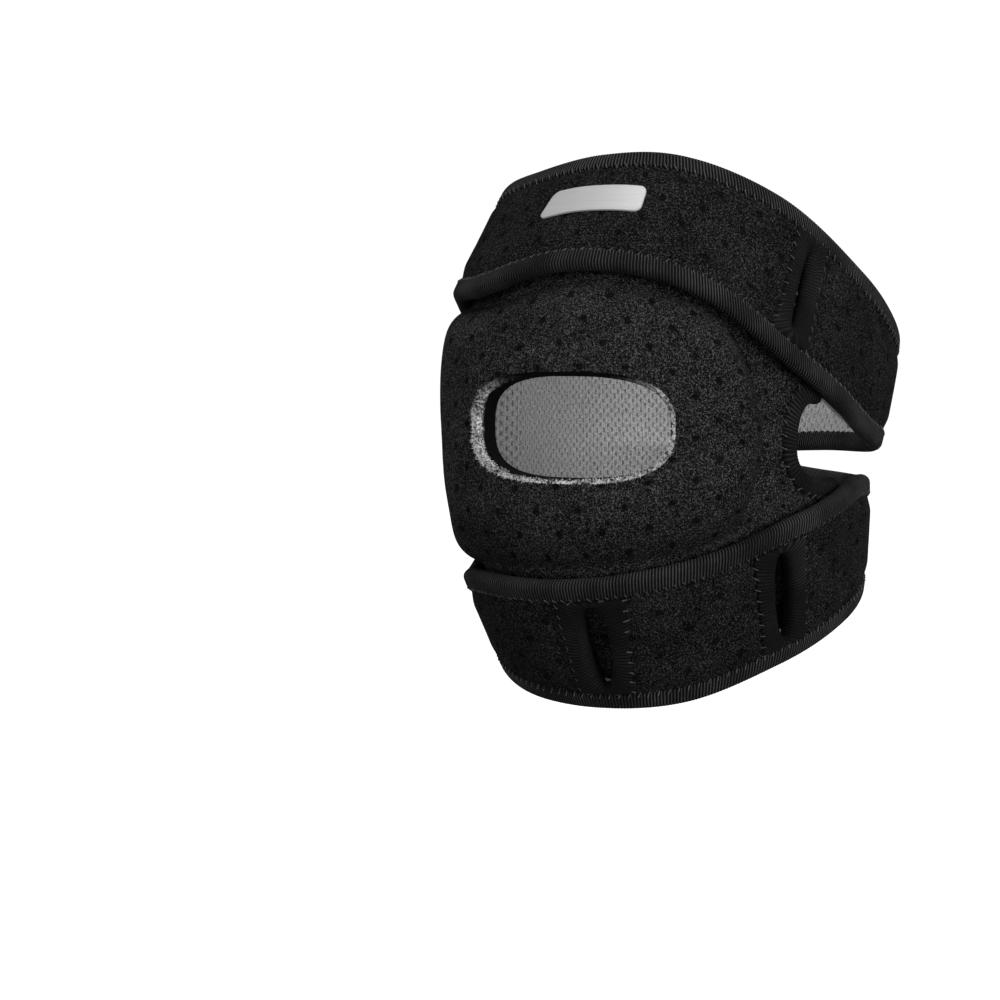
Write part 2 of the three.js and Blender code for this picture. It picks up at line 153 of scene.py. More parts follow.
class Finish:
    """A material and its nodes."""

    def __init__(self, name, colour):
        self.material = bpy.data.materials.new(name)
        self.material.diffuse_color = (*colour, 1)
        self.material.use_nodes = True
        self.material.node_tree.nodes.clear()

    def node(self, kind, settings=None, values=None, output=0):
        """Adds a node, with its settings first and then its sockets' values or wires."""
        tree = self.material.node_tree
        added = tree.nodes.new(kind)
        for name, setting in (settings or {}).items():
            if name == "stops":
                while len(added.color_ramp.elements) < len(setting):
                    added.color_ramp.elements.new(1)
                for element, (place, colour) in zip(added.color_ramp.elements, setting):
                    element.position = place
                    element.color = (*colour, 1)
            else:
                setattr(added, name, setting)
        for name, value in (values or {}).items():
            socket = added.inputs[name]
            if isinstance(value, Wire):
                tree.links.new(value.socket, socket)
            else:
                socket.default_value = value
        return Wire(self, added.outputs[output]) if added.outputs else None

    def place(self, kind="Object"):
        return self.node("ShaderNodeTexCoord", {}, {}, kind)

    def noise(self, place, scale, detail=2.0, roughness=0.5):
        return self.node(
            "ShaderNodeTexNoise",
            {},
            {"Vector": place, "Scale": scale, "Detail": detail, "Roughness": roughness},
        )

    def mix(self, share, first, second):
        """A colour between two colours."""
        return self.node(
            "ShaderNodeMix",
            {"data_type": "RGBA"},
            {"Factor": share, 6: first, 7: second},
            2,
        )

    def bump(self, height, distance, strength=1.0):
        return self.node(
            "ShaderNodeBump",
            {},
            {"Strength": strength, "Distance": distance, "Height": height},
        )

    def surface(self, **values):
        """The surface shader. Underscores stand for the spaces in the sockets' names."""
        named = {name.replace("_", " "): value for name, value in values.items()}
        shader = self.node("ShaderNodeBsdfPrincipled", {}, named)
        self.node("ShaderNodeOutputMaterial", {}, {"Surface": shader})
        return self.material


def grey(value):
    return (value, value, value * 1.01, 1)


def lamp(name, place, size, power):
    """A square soft lamp that faces the knee."""
    light = bpy.data.lights.new(name, "AREA")
    light.shape = "SQUARE"
    light.size = size
    light.energy = power
    holder = placed(name, light)
    holder.location = place
    holder.rotation_euler = (-Vector(place)).to_track_quat("-Z", "Y").to_euler()


floor_mesh = bpy.data.meshes.new("floor")
floor_shape = bmesh.new()
bmesh.ops.create_grid(floor_shape, x_segments=1, y_segments=1, size=FLOOR_HALF_SIZE)
bmesh.ops.translate(floor_shape, verts=floor_shape.verts, vec=(0, 0, FLOOR_HEIGHT))
floor_shape.to_mesh(floor_mesh)
floor_shape.free()
floor = placed("floor", floor_mesh)
floor_finish = Finish("pale_floor", (0.9, 0.9, 0.9))
floor_grain = floor_finish.noise(floor_finish.place(), 40)
floor_mesh.materials.append(
    floor_finish.surface(
        Base_Color=floor_finish.mix(floor_grain, grey(0.93), grey(0.96)),
        Roughness=0.9,
        Emission_Color=(1, 1, 1, 1),
        Emission_Strength=0.9,
    )
)
floor.visible_diffuse = False
floor.visible_glossy = False
floor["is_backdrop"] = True

surround = bpy.data.worlds.new("white_surround")
surround.use_nodes = True
surround_nodes = surround.node_tree.nodes
surround_light = surround_nodes["Background"]
surround_light.inputs["Color"].default_value = (1, 1, 1, 1)
seen_straight = surround_nodes.new("ShaderNodeLightPath")
surround_strength = surround_nodes.new("ShaderNodeMapRange")
surround_strength.inputs["To Min"].default_value = FILL_LIGHT
surround_strength.inputs["To Max"].default_value = 1.05
join = surround.node_tree.links.new
join(seen_straight.outputs["Is Camera Ray"], surround_strength.inputs["Value"])
join(surround_strength.outputs["Result"], surround_light.inputs["Strength"])
bpy.context.scene.world = surround
bpy.context.scene.view_settings.view_transform = "Standard"

lamp("lamp_above", (0.1, -0.5, 1.1), 0.6, 8)
lamp("lamp_low", (0.3, -1.1, -0.25), 0.6, 2.5)
lamp("lamp_left", (-1.0, -0.8, 0.3), 0.6, 3)
lamp("lamp_right", (1.1, -0.5, 0.2), 0.6, 11)
lamp("lamp_behind", (0.3, 1.1, 0.6), 0.8, 3)
lamp("lamp_in_the_hollow", (-0.004, -0.036, 0.002), 0.02, 0.02)
bpy.data.objects["lamp_in_the_hollow"].visible_camera = False


# The two wide straps: foam sheet faced with black loop cloth, one above the kneecap and one
# below. They are cut on a curve, so each strap's sheet leans with the leg, and finger slots
# are cut through them. Quilting along the tapes leaves the middle of a strap slightly puffed.
KNEE_RADIUS = 0.068
HALF_HEIGHT = 0.074
GAP = 0.0003
TAPE_CLOTH = 0.0008
STRAP_CLOTH = 0.0024
LINING_CLOTH = 0.001
LINING_FACE = -STRAP_CLOTH - GAP
STRAP_INNER_FACE = LINING_FACE - LINING_CLOTH
TAPE_WIDTH = 0.0046
STRAP_SEAM = -170
SEAM_GAP = 0.5
PUFF = 0.0009
PUFF_START = TAPE_WIDTH - 0.0004
PUFF_REACH = 0.0054
SLOT_PUFF_END = 0.0095
STRAP_MIDDLE = STRAP_INNER_FACE / 2
EDGE_SQUEEZE = 0.28
SQUEEZE_REACH = 0.008
RIPPLE = 0.0005
RIPPLES_PER_METRE = 38
# The foam's perforations, which show through the cloth: rows up the leg, each shifted by half
DOT_COLUMN = 0.0124
DOT_ROW = 0.0062
DOT_SIZE = 0.0007
DOT_DEPTH = 0.0005
SLOT_MARGIN = GAP + TAPE_CLOTH
SHARP_EDGE = 50
# Points of a sheet's grid within this of a cut edge move onto it
CUT_SNAP = 0.0012

# For every 30 degrees from the back: top height, bottom height, top radius and bottom radius
STRAP_OUTLINES = {
    "upper": [
        (0.285, -0.145, 0.955, 0.805),
        (0.295, -0.14, 0.91, 0.8),
        (0.43, -0.105, 0.88, 0.84),
        (0.685, 0.125, 0.82, 0.84),
        (0.865, 0.44, 0.725, 0.915),
        (0.925, 0.49, 0.655, 0.98),
        (0.97, 0.575, 0.645, 0.935),
        (0.955, 0.495, 0.68, 0.925),
        (0.815, 0.19, 0.77, 0.94),
        (0.545, -0.03, 0.875, 0.875),
        (0.315, -0.115, 0.965, 0.88),
        (0.275, -0.13, 0.985, 0.845),
    ],
    "lower": [
        (-0.195, -0.665, 0.83, 0.82),
        (-0.2, -0.66, 0.83, 0.825),
        (-0.295, -0.725, 0.845, 0.82),
        (-0.44, -0.85, 0.855, 0.79),
        (-0.57, -0.94, 0.875, 0.735),
        (-0.56, -1.005, 0.97, 0.705),
        (-0.565, -1.02, 0.985, 0.715),
        (-0.485, -0.985, 0.96, 0.735),
        (-0.325, -0.86, 0.935, 0.77),
        (-0.215, -0.73, 0.85, 0.795),
        (-0.23, -0.645, 0.83, 0.81),
        (-0.225, -0.66, 0.83, 0.815),
    ],
}


def clamp(value):
    return min(max(value, 0), 1)


def smoothstep(start, end, value):
    share = clamp((value - start) / (end - start))
    return share * share * (3 - 2 * share)


def evenly(start, end, steps):
    return [start + (end - start) * k / steps for k in range(steps + 1)]


def round_leg(radius, height, angle):
    turn = math.radians(angle)
    return Vector((radius * math.sin(turn), -radius * math.cos(turn), height))


def curve(before, start, end, after, share):
    """The place on a smooth curve at a share of the way from start to end."""
    bend = 2 * before - 5 * start + 4 * end - after
    twist = 3 * (start - end) + after - before
    return start + 0.5 * share * (end - before + share * (bend + share * twist))


@lru_cache(maxsize=None)
def strap_section(strap, angle):
    """A strap's section at an angle: its bottom edge, its run to the top edge and its outward."""
    rows = STRAP_OUTLINES[strap]
    place = ((angle + 180) % 360) / 30
    row = int(place)
    share = place - row

    def column(number):
        return curve(*(rows[(row + k) % 12][number] for k in (-1, 0, 1, 2)), share)

    under_tape = GAP + TAPE_CLOTH
    top = Vector((column(2) * KNEE_RADIUS - under_tape, column(0) * HALF_HEIGHT))
    bottom = Vector((column(3) * KNEE_RADIUS - under_tape, column(1) * HALF_HEIGHT))
    run = top - bottom
    return bottom, run, Vector((run.y, -run.x)).normalized()


def strap_at(strap, angle, across, out, squeezed=True):
    """A point on a strap: across is 0 at its bottom edge and 1 at its top edge."""
    bottom, run, outward = strap_section(strap, angle)
    flat = bottom + run * across
    if squeezed:
        from_edge = min(across, 1 - across) * run.length
        squeeze = EDGE_SQUEEZE * (1 - smoothstep(0, SQUEEZE_REACH, from_edge))
        out += (STRAP_MIDDLE - out) * squeeze
    ripple = RIPPLE * noise.noise(round_leg(flat.x, flat.y, angle) * RIPPLES_PER_METRE)
    place = flat + outward * (out + ripple)
    return round_leg(place.x, place.y, angle)


def round_strap(steps):
    """The angles from a strap's one end at the back seam to its other end."""
    return evenly(STRAP_SEAM + SEAM_GAP, STRAP_SEAM + 360 - SEAM_GAP, steps)


def strap_scale(strap, angle, across):
    """Metres to a degree along the strap, and to a whole share across it."""
    bottom, run, _ = strap_section(strap, angle)
    return math.radians(bottom.x + run.x * across), run.length


class Slot:
    """A finger slot's cut edge: a lens between its two ends, widest in the middle."""

    def __init__(self, strap, low_end, high_end, width):
        (low_angle, low), (high_angle, high) = low_end, high_end
        self.strap = strap
        self.width = width
        self.angle = (low_angle + high_angle) / 2
        self.across = (low + high) / 2
        self.lean = (high_angle - low_angle) / (high - low)
        self.per_degree, self.per_across = strap_scale(strap, self.angle, self.across)
        self.half_width = width / 2 + SLOT_MARGIN
        self.half_length = (high - low) * self.per_across / 2 + SLOT_MARGIN

    def place(self, aside, across):
        """The place in (angle, across) that lies so far aside of the slot's middle line."""
        return self.angle + self.lean * (across - self.across) + aside / self.per_degree, across

    def from_middle(self, angle, across):
        """How far a place lies aside of the slot's middle, and along from it, in metres."""
        aside = (angle - self.angle - self.lean * (across - self.across)) * self.per_degree
        return aside, (across - self.across) * self.per_across

    def outline(self, steps):
        points = []
        for step in range(steps):
            turn = 2 * math.pi * step / steps
            aside = math.copysign(abs(math.cos(turn)) ** 0.8, math.cos(turn)) * self.half_width
            across = self.across + math.sin(turn) * self.half_length / self.per_across
            points.append(self.place(aside, across))
        return points

    def distance(self, angle, across):
        """Metres from the slot's cut edge, or less than 0 inside it."""
        aside, along = self.from_middle(angle, across)
        lens = (abs(aside) / self.half_width) ** 2.5 + (along / self.half_length) ** 2
        if lens < 1:
            return lens - 1
        past_side = max(abs(aside) - self.half_width, 0)
        return math.hypot(past_side, max(abs(along) - self.half_length, 0))


# Each slot's lower and upper end as (angle, share of the strap's width), and its width
SLOTS = {
    "upper_side_slot_tape": Slot("upper", (56.8, 0.2), (67.6, 0.8), 0.0016),
    "lower_front_slot_tape": Slot("lower", (5.2, 0.19), (5.6, 0.81), 0.0066),
    "lower_side_slot_tape": Slot("lower", (59.6, 0.19), (53.6, 0.81), 0.0038),
}


def slot_holes(strap):
    """The outlines of a strap's slots."""
    return [slot.outline(60) for slot in SLOTS.values() if slot.strap == strap]


def strap_puff(strap, angle, across):
    """How far the loop cloth stands up between the lines where it is sewn down."""
    width = strap_section(strap, angle)[1].length
    from_edge = min(across, 1 - across) * width
    rise = smoothstep(PUFF_START, PUFF_START + PUFF_REACH, from_edge)
    for slot in SLOTS.values():
        if slot.strap == strap:
            rise *= smoothstep(TAPE_WIDTH, SLOT_PUFF_END, slot.distance(angle, across))
    return rise * PUFF


def dot_depth(along, width_place):
    """1 in the middle of a foam perforation, which shows through the cloth as a dimple."""
    row = math.floor(width_place / DOT_ROW)
    aside = ((along / DOT_COLUMN + 0.5 * (row % 2)) % 1 - 0.5) * DOT_COLUMN
    up = (width_place / DOT_ROW - row - 0.5) * DOT_ROW
    return math.exp(-(aside * aside + up * up) / DOT_SIZE**2)


def shown(shape, name, material, node):
    """Makes the finished object of a shape: closed, faces outwards, smooth but for its edges."""
    bmesh.ops.recalc_face_normals(shape, faces=shape.faces)
    for face in shape.faces:
        face.smooth = True
    for edge in shape.edges:
        if edge.is_manifold and edge.calc_face_angle(0) > math.radians(SHARP_EDGE):
            edge.smooth = False
    mesh = bpy.data.meshes.new(name)
    shape.to_mesh(mesh)
    shape.free()
    mesh.materials.append(material)
    piece = placed(name, mesh)
    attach(piece, "root")
    if node:
        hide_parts(node)
    return piece


def nearest_on(outline, point, per_degree, per_across):
    """The nearest place to a point on a closed outline, both in (angle, across)."""
    size = Vector((per_degree, per_across))
    here = Vector(point) * size
    best = None
    for k, start in enumerate(outline):
        first = Vector(start) * size
        run = Vector(outline[(k + 1) % len(outline)]) * size - first
        share = clamp((here - first).dot(run) / max(run.length_squared, 1e-18))
        place = first + run * share
        distance = (place - here).length
        if best is None or distance < best[0]:
            best = (distance, (place.x / per_degree, place.y / per_across))
    return best


def holds(outline, point):
    """True if a closed outline goes round the point."""
    inside = False
    x, y = point
    for k, (x1, y1) in enumerate(outline):
        x2, y2 = outline[(k + 1) % len(outline)]
        if (y1 > y) != (y2 > y) and x < x1 + (y - y1) * (x2 - x1) / (y2 - y1):
            inside = not inside
    return inside


def lay_flat(shape, place):
    """Gives every corner of every face its place on the flat cloth."""
    layer = shape.loops.layers.uv.new("cloth")
    for face in shape.faces:
        for loop in face.loops:
            loop[layer].uv = place(loop.vert)


def cloth_sheet(angles, shares, holes, outer, inner, scale):
    """A sheet of cloth with two faces, cut round its holes. Outer and inner place its points."""
    shape = bmesh.new()
    columns = len(angles) - 1
    rows = len(shares) - 1
    bmesh.ops.create_grid(shape, x_segments=columns, y_segments=rows, size=0.5)
    for vert in shape.verts:
        angle = angles[round((vert.co.x + 0.5) * columns)]
        vert.co = (angle, shares[round((vert.co.y + 0.5) * rows)], 0)
    for outline in holes:
        low = Vector(min(point[k] for point in outline) for k in (0, 1))
        high = Vector(max(point[k] for point in outline) for k in (0, 1))
        within = set()
        for vert in shape.verts:
            angle, across, _ = vert.co
            if low.x < angle < high.x and low.y < across < high.y:
                if holds(outline, (angle, across)):
                    within.add(vert)
        inside = [face for face in shape.faces if within.issuperset(face.verts)]
        bmesh.ops.delete(shape, geom=inside, context="FACES")
        for vert in list(shape.verts):
            if vert not in within and not vert.is_boundary:
                continue
            angle, across, _ = vert.co
            if not (low.x - 2 < angle < high.x + 2 and low.y - 0.1 < across < high.y + 0.1):
                continue
            per_degree, per_across = scale(angle, across)
            distance, place = nearest_on(outline, vert.co.xy, per_degree, per_across)
            if vert in within or distance < CUT_SNAP:
                vert.co.xy = place
    per_degree, per_across = scale(0, 0)
    lay_flat(shape, lambda vert: (vert.co.x * per_degree, vert.co.y * per_across))
    top = list(shape.faces)
    made = bmesh.ops.extrude_face_region(shape, geom=top, use_keep_orig=True)["geom"]
    under = {item for item in made if isinstance(item, bmesh.types.BMVert)}
    for vert in shape.verts:
        place = inner if vert in under else outer
        vert.co = place(vert.co.x, vert.co.y)
    return shape


def loop_cloth(name, dots, light):
    """Black brushed loop cloth: fine fibre ends over dark loops, with the foam's dimples, which
    are darkened as painted shade.

    Dots is how plain the dimples and their painted shade are, 0 to 1, and light is the colour of
    the fibre ends.
    """
    finish = Finish(name, (0.02, 0.02, 0.02))
    place = finish.place()
    flat = finish.place("UV")
    loops = finish.noise(place, 1900, 3, 0.75)
    fibres = finish.noise(place, 3600, 2, 0.85)
    patches = finish.noise(place, 90, 3)
    up = flat.part("Y") / DOT_ROW
    row = up.maths("FLOOR", up)
    shifted = flat.part("X") / DOT_COLUMN + row.maths("MODULO", row, 2) * 0.5
    aside = shifted.off_half() * DOT_COLUMN
    above = (up - row - 0.5) * DOT_ROW
    distance = (aside * aside + above * above) ** 0.5
    dimple = (1 - distance.fade(0.0006, 0.0014)) * dots
    grains = (loops * 0.4 + fibres * 0.6).fade(0.49, 0.64)
    base = finish.mix(patches.fade(0.3, 0.7), grey(0.001), grey(0.003))
    base = finish.mix(grains * (0.4 + patches * 0.7), base, grey(light))
    # Painted shade: the dimples are darkened towards grey(0.002).
    base = finish.mix(dimple * 0.85, base, grey(0.002))
    height = loops * 0.5 + fibres * 0.5 - dimple * 0.6
    bump = finish.bump(height, 0.0008)
    return finish.surface(Base_Color=base, Roughness=0.95, Normal=bump, Specular_IOR_Level=0.03)


strap_cloth = loop_cloth("strap_loop_cloth", 0.85, 0.1)


def strap_cloth_face(strap, angle, across):
    """A strap's cloth: puffed between its tapes, with the foam's dimples."""
    along, width = strap_scale(strap, 0, 0)
    dot = DOT_DEPTH * dot_depth(angle * along, across * width)
    puff = strap_puff(strap, angle, across)
    return strap_at(strap, angle, across, puff - dot * clamp(puff / PUFF))


for strap_name in STRAP_OUTLINES:
    shape = cloth_sheet(
        round_strap(400),
        evenly(0, 1, 46),
        slot_holes(strap_name),
        partial(strap_cloth_face, strap_name),
        partial(strap_at, strap_name, out=-STRAP_CLOTH),
        partial(strap_scale, strap_name),
    )
    strap = shown(shape, strap_name + "_strap_cloth", strap_cloth, strap_name + "_strap")


# The kneecap panel: a thicker foam sheet faced with the same loop cloth. It swells into a pad
# between the straps, ends in a crease at the right, and is cut out for the kneecap and for the
# notch at the side. Its margins lie under the two straps.
PANEL_CLOTH = 0.0026
BENT_TAPE_SLACK = 0.00015
STRAP_STACK = STRAP_CLOTH + GAP + LINING_CLOTH + GAP + TAPE_CLOTH
PANEL_DEPTH = STRAP_STACK + GAP + BENT_TAPE_SLACK + TAPE_CLOTH + GAP
PAD_RISE = 0.0105
PAD_FULLNESS = 5
PAD_LEFT_FULLNESS = 9
PAD_LEFT_ROUND = 0.42
PAD_EDGE = 0.965
PAD_LEFT_EDGE = 0.995
PAD_INSIDE_SHARE = 0.72
# The pad's left values take over gradually between these angles
PAD_LEFT_FROM = -20
PAD_LEFT_FULL = -60
PAD_LEFT_END = -84
PAD_RIGHT_END = 49.5
PAD_RIGHT_CURVE = 8.5
PAD_RIPPLE = 0.0006
PAD_DOT_DEPTH = 0.0007
PAD_SHOULDER = 15
PAD_RIGHT_SHOULDER = 9
PANEL_START = -166
PANEL_END = 121
HIDDEN_SHARE = 0.88
WINDOW_WIDTH = 0.060
WINDOW_HEIGHT = 0.029
WINDOW_SQUARENESS = 2.8
WINDOW_ANGLE = 1.5

# The notch's edge, from the upper wing round its nose to the lower wing: (angle, across)
NOTCH_OUTLINE = [
    (124, 1.16),
    (100, 1.14),
    (85, 1.12),
    (76, 1.08),
    (70.4, 0.99),
    (65.6, 0.8),
    (62, 0.44),
    (60.8, -0.04),
    (62, -0.32),
    (65.4, -0.52),
    (71, -0.68),
    (78, -0.84),
    (88, -1.02),
    (102, -1.1),
    (124, -1.12),
]


def pad_share(angle, across):
    """How much of the padding's swelling there is at a place, 0 to 1."""
    left = smoothstep(PAD_LEFT_END, PAD_LEFT_END + PAD_SHOULDER, angle)
    right_end = PAD_RIGHT_END - PAD_RIGHT_CURVE * clamp(abs(across)) ** 2
    into = clamp((angle - right_end + PAD_RIGHT_SHOULDER) / PAD_RIGHT_SHOULDER)
    return left * (1 - into * into) ** 0.75


@lru_cache(maxsize=None)
def panel_edges(angle):
    """The panel's places at the upper strap's bottom edge and the lower strap's top edge."""
    top = strap_at("upper", angle, 0, -PANEL_DEPTH, squeezed=False)
    return top, strap_at("lower", angle, 1, -PANEL_DEPTH, squeezed=False)


def panel_point(angle, across, out, swelling):
    """A point on the panel: across runs -1 to 1 between the straps, and past that under them."""
    if abs(across) >= 1:
        strap, share = ("upper", across - 1) if across > 0 else ("lower", across + 2)
        under = strap_at(strap, angle, share, -PANEL_DEPTH, squeezed=False)
        return under + round_leg(out, 0, angle)
    top, bottom = panel_edges(angle)
    left = smoothstep(PAD_LEFT_FROM, PAD_LEFT_FULL, angle)
    edge = PAD_EDGE + (PAD_LEFT_EDGE - PAD_EDGE) * left
    reached = min(abs(across) / edge, 1)
    fall = reached ** (PAD_FULLNESS + PAD_LEFT_FULLNESS * left)
    fall += (reached**2 - fall) * PAD_LEFT_ROUND * left
    dome = (1 - fall) * pad_share(angle, across)
    rise = out + PAD_RISE * swelling * dome
    return bottom.lerp(top, (across + 1) / 2) + round_leg(rise, 0, angle)


def panel_outer(angle, across, out=0.0):
    return panel_point(angle, across, out, 1)


def panel_inner(angle, across, out=0.0):
    return panel_point(angle, across, out - PANEL_CLOTH, PAD_INSIDE_SHARE)


def panel_scale(angle, across):
    top, bottom = panel_edges(angle)
    middle = panel_outer(angle, across)
    return math.radians(math.hypot(middle.x, middle.y)), (top - bottom).length / 2


def window_outline(margin, steps=120):
    """The kneecap window on the panel: an oval with nearly straight long sides."""
    half_width = WINDOW_WIDTH / 2 + margin
    half_tall = WINDOW_HEIGHT / 2 + margin
    per_degree = panel_scale(WINDOW_ANGLE, 0)[0]

    def bend(value):
        return math.copysign(abs(value) ** (2 / WINDOW_SQUARENESS), value)

    points = []
    for step in range(steps):
        turn = -2 * math.pi * step / steps
        angle = WINDOW_ANGLE + half_width * bend(math.cos(turn)) / per_degree
        height = half_tall * bend(math.sin(turn))
        top = panel_outer(angle, 1).z
        bottom = panel_outer(angle, -1).z
        points.append((angle, 2 * (height - bottom) / (top - bottom) - 1))
    return points


def smooth_line(points, steps):
    """Points along a smooth open curve through the given ones."""
    line = []
    for step in range(steps + 1):
        place = step / steps * (len(points) - 1)
        start = min(int(place), len(points) - 2)
        last = len(points) - 1
        four = [Vector(points[min(max(start + k, 0), last)]) for k in (-1, 0, 1, 2)]
        line.append(tuple(curve(*four, place - start)))
    return line


notch_line = smooth_line(NOTCH_OUTLINE, 220)
panel_angles = (
    evenly(PANEL_START, -95, 24)[:-1] + evenly(-95, 66, 214)[:-1] + evenly(66, PANEL_END, 46)
)
panel_shares = (
    evenly(-1 - HIDDEN_SHARE, -1.04, 5) + evenly(-1, 1, 92) + evenly(1.04, 1 + HIDDEN_SHARE, 5)
)


def pad_face(angle, across):
    """The pad's cloth, with the foam's dimples."""
    per_degree, per_across = panel_scale(0, 0)
    dot = dot_depth(angle * per_degree, across * per_across)
    edge = 1 - smoothstep(0.94, 1.0, abs(across))
    ripple = PAD_RIPPLE * noise.noise(Vector((angle * 0.07, across * 2.2, 3.1)))
    return panel_outer(angle, across, (ripple - PAD_DOT_DEPTH * dot) * edge)


panel_shape = cloth_sheet(
    panel_angles,
    panel_shares,
    [window_outline(0), notch_line],
    pad_face,
    panel_inner,
    panel_scale,
)
# The panel's copy of the loop cloth has lighter fibre ends (0.17 against the straps' 0.1) and
# plainer dimples.
panel_cloth = loop_cloth("panel_loop_cloth", 1.0, 0.17)
panel = shown(panel_shape, "kneecap_panel_cloth", panel_cloth, "kneecap_panel")


# The linings: thin grey knitted mesh on the leg's side of the panel and of both straps. It is
# stretched over the foam and held at its edges by the tapes, and its yarns run up the leg.
LINING_RADIUS = 0.058
LINING_YARN = 0.00085
# The mesh's small holes, in columns that are shifted by half
LINING_COLUMN = 0.0015
LINING_ROW = 0.0029
# Each lining's flat width and length, and the area of its curved cut
LINING_CUTS = {
    "panel": ((0.290, 0.135), 0.0257),
    "upper": ((0.038, 0.355), 0.0128),
    "lower": ((0.035, 0.345), 0.0113),
}


def knitted_mesh(name):
    finish = Finish(name, (0.19, 0.19, 0.19))
    place = finish.place()
    bend = (finish.noise(place, 120, 2) - 0.5) * 0.001
    turn = place.maths("ARCTAN2", place.part("X"), place.part("Y") * -1)
    along = turn * LINING_RADIUS + bend
    column = along / LINING_COLUMN
    number = column.maths("FLOOR", column)
    up = place.part("Z") / LINING_ROW + number.maths("MODULO", number, 2) * 0.5
    hole = 1 - column.off_half().fade(0.08, 0.34)
    hole = hole * (1 - up.off_half().fade(0.12, 0.32))
    yarn = (along / LINING_YARN).off_half()
    fuzz = finish.noise(place, 1900, 3, 0.7)
    shade = 0.5 + yarn * 0.35 - hole * 0.33 + (fuzz - 0.5) * 1.8
    base = finish.mix(shade.fade(-0.2, 1.2), grey(0.05), grey(0.5))
    height = fuzz * 0.4 - hole
    bump = finish.bump(height, 0.0004, 0.8)
    return finish.surface(
        Base_Color=base, Roughness=0.85, Normal=bump, Sheen_Weight=0.15, Sheen_Roughness=0.4
    )


lining_cloth = knitted_mesh("knitted_lining")
panel_lining_shape = cloth_sheet(
    evenly(PANEL_START, PANEL_END, 200),
    evenly(-1 - HIDDEN_SHARE, 1 + HIDDEN_SHARE, 60),
    [window_outline(0), notch_line],
    partial(panel_inner, out=-GAP),
    partial(panel_inner, out=-GAP - LINING_CLOTH),
    panel_scale,
)
panel_lining = shown(
    panel_lining_shape, "panel_lining_mesh", lining_cloth, "panel_lining"
)
cut, area = LINING_CUTS["panel"]

for strap_name in STRAP_OUTLINES:
    shape = cloth_sheet(
        round_strap(240),
        evenly(0, 1, 24),
        slot_holes(strap_name),
        partial(strap_at, strap_name, out=LINING_FACE),
        partial(strap_at, strap_name, out=STRAP_INNER_FACE),
        partial(strap_scale, strap_name),
    )
    node = strap_name + "_strap_lining"
    lining = shown(shape, strap_name + "_lining_mesh", lining_cloth, node)
    cut, area = LINING_CUTS[strap_name]


# The window's cut edge: bare light foam and fluff where the panel was cut through, never bound.
# A thin wall lines the hole, and short loose fibres stand out from it, most at its left end
# and none at its top. The light foam colour lies on the front lip, and further into the wall at
# the left end; deeper in, the wall is dark, and towards the top it is painted dark as painted shade.
WINDOW_RIM = 0.001
FIBRES = 5200
FIBRE_RADIUS = 0.00011
FIBRE_SHORTEST = 0.0005
FIBRE_LONGEST = 0.001
LEFT_FIBRE_LONGEST = 0.0014
# What a swept skin's UV grows by from one stop or row to the next
UV_STEP = 0.001
LEFT_END = -14


def cut_foam(name):
    finish = Finish(name, (0.45, 0.45, 0.45))
    place = finish.place()
    fluff = finish.noise(place, 1500, 4, 0.7)
    broad = finish.noise(place, 250, 2)
    depth = finish.place("UV").part("Y") / UV_STEP
    left = 1 - place.part("X").fade(-0.026, -0.014)
    bare = depth + (broad - 0.5) * 0.8 - left * 1.3
    # Light foam on the front lip, reaching deeper into the wall at the left end; dark deeper in.
    front = 1 - bare.fade(0.5, 1.0)
    # Painted shade: the edge is painted dark towards the top of the window.
    front = front * (1 - place.part("Z").fade(0.008, 0.0135))
    light = finish.mix((fluff * 0.75 + broad * 0.25).fade(0.42, 0.58), grey(0.03), grey(0.8))
    base = finish.mix(front, grey(0.003), light)
    bump = finish.bump(fluff, 0.0008)
    return finish.surface(Base_Color=base, Roughness=0.95, Normal=bump, Specular_IOR_Level=0.05)


edge_foam = cut_foam("cut_foam")
outer_loop = window_outline(-0.2 * GAP, 240)
inner_loop = window_outline(-GAP - WINDOW_RIM, 240)


def rim_point(k, turn):
    """A place round the rim's section at one stop of the window's outline."""
    outer_angle, outer_across = outer_loop[k % len(outer_loop)]
    inner_angle, inner_across = inner_loop[k % len(inner_loop)]
    front = panel_outer(outer_angle, outer_across, 0)
    front_in = panel_outer(inner_angle, inner_across, -0.6 * WINDOW_RIM)
    back_in = panel_inner(inner_angle, inner_across, -GAP - LINING_CLOTH)
    back = panel_inner(outer_angle, outer_across, -GAP - LINING_CLOTH)
    corners = [front, front_in, front_in.lerp(back_in, 0.3), front_in.lerp(back_in, 0.65)]
    corners += [back_in, back, back.lerp(front, 0.5)]
    return corners[turn % len(corners)]


def swept(stops, around, closed, point):
    """A closed skin over a section that is carried along a path."""
    shape = bmesh.new()
    columns = stops if closed else stops - 1
    bmesh.ops.create_grid(shape, x_segments=columns, y_segments=around, size=0.5)
    places = {}
    for vert in shape.verts:
        column = round((vert.co.x + 0.5) * columns)
        places[vert] = (column, round((vert.co.y + 0.5) * around))
    lay_flat(shape, lambda vert: [number * UV_STEP for number in places[vert]])
    for vert, (column, row) in places.items():
        vert.co = point(column % stops if closed else column, row % around)
    bmesh.ops.remove_doubles(shape, verts=shape.verts, dist=1e-7)
    ends = [edge for edge in shape.edges if edge.is_boundary]
    if ends:
        bmesh.ops.holes_fill(shape, edges=ends, sides=0)
    return shape


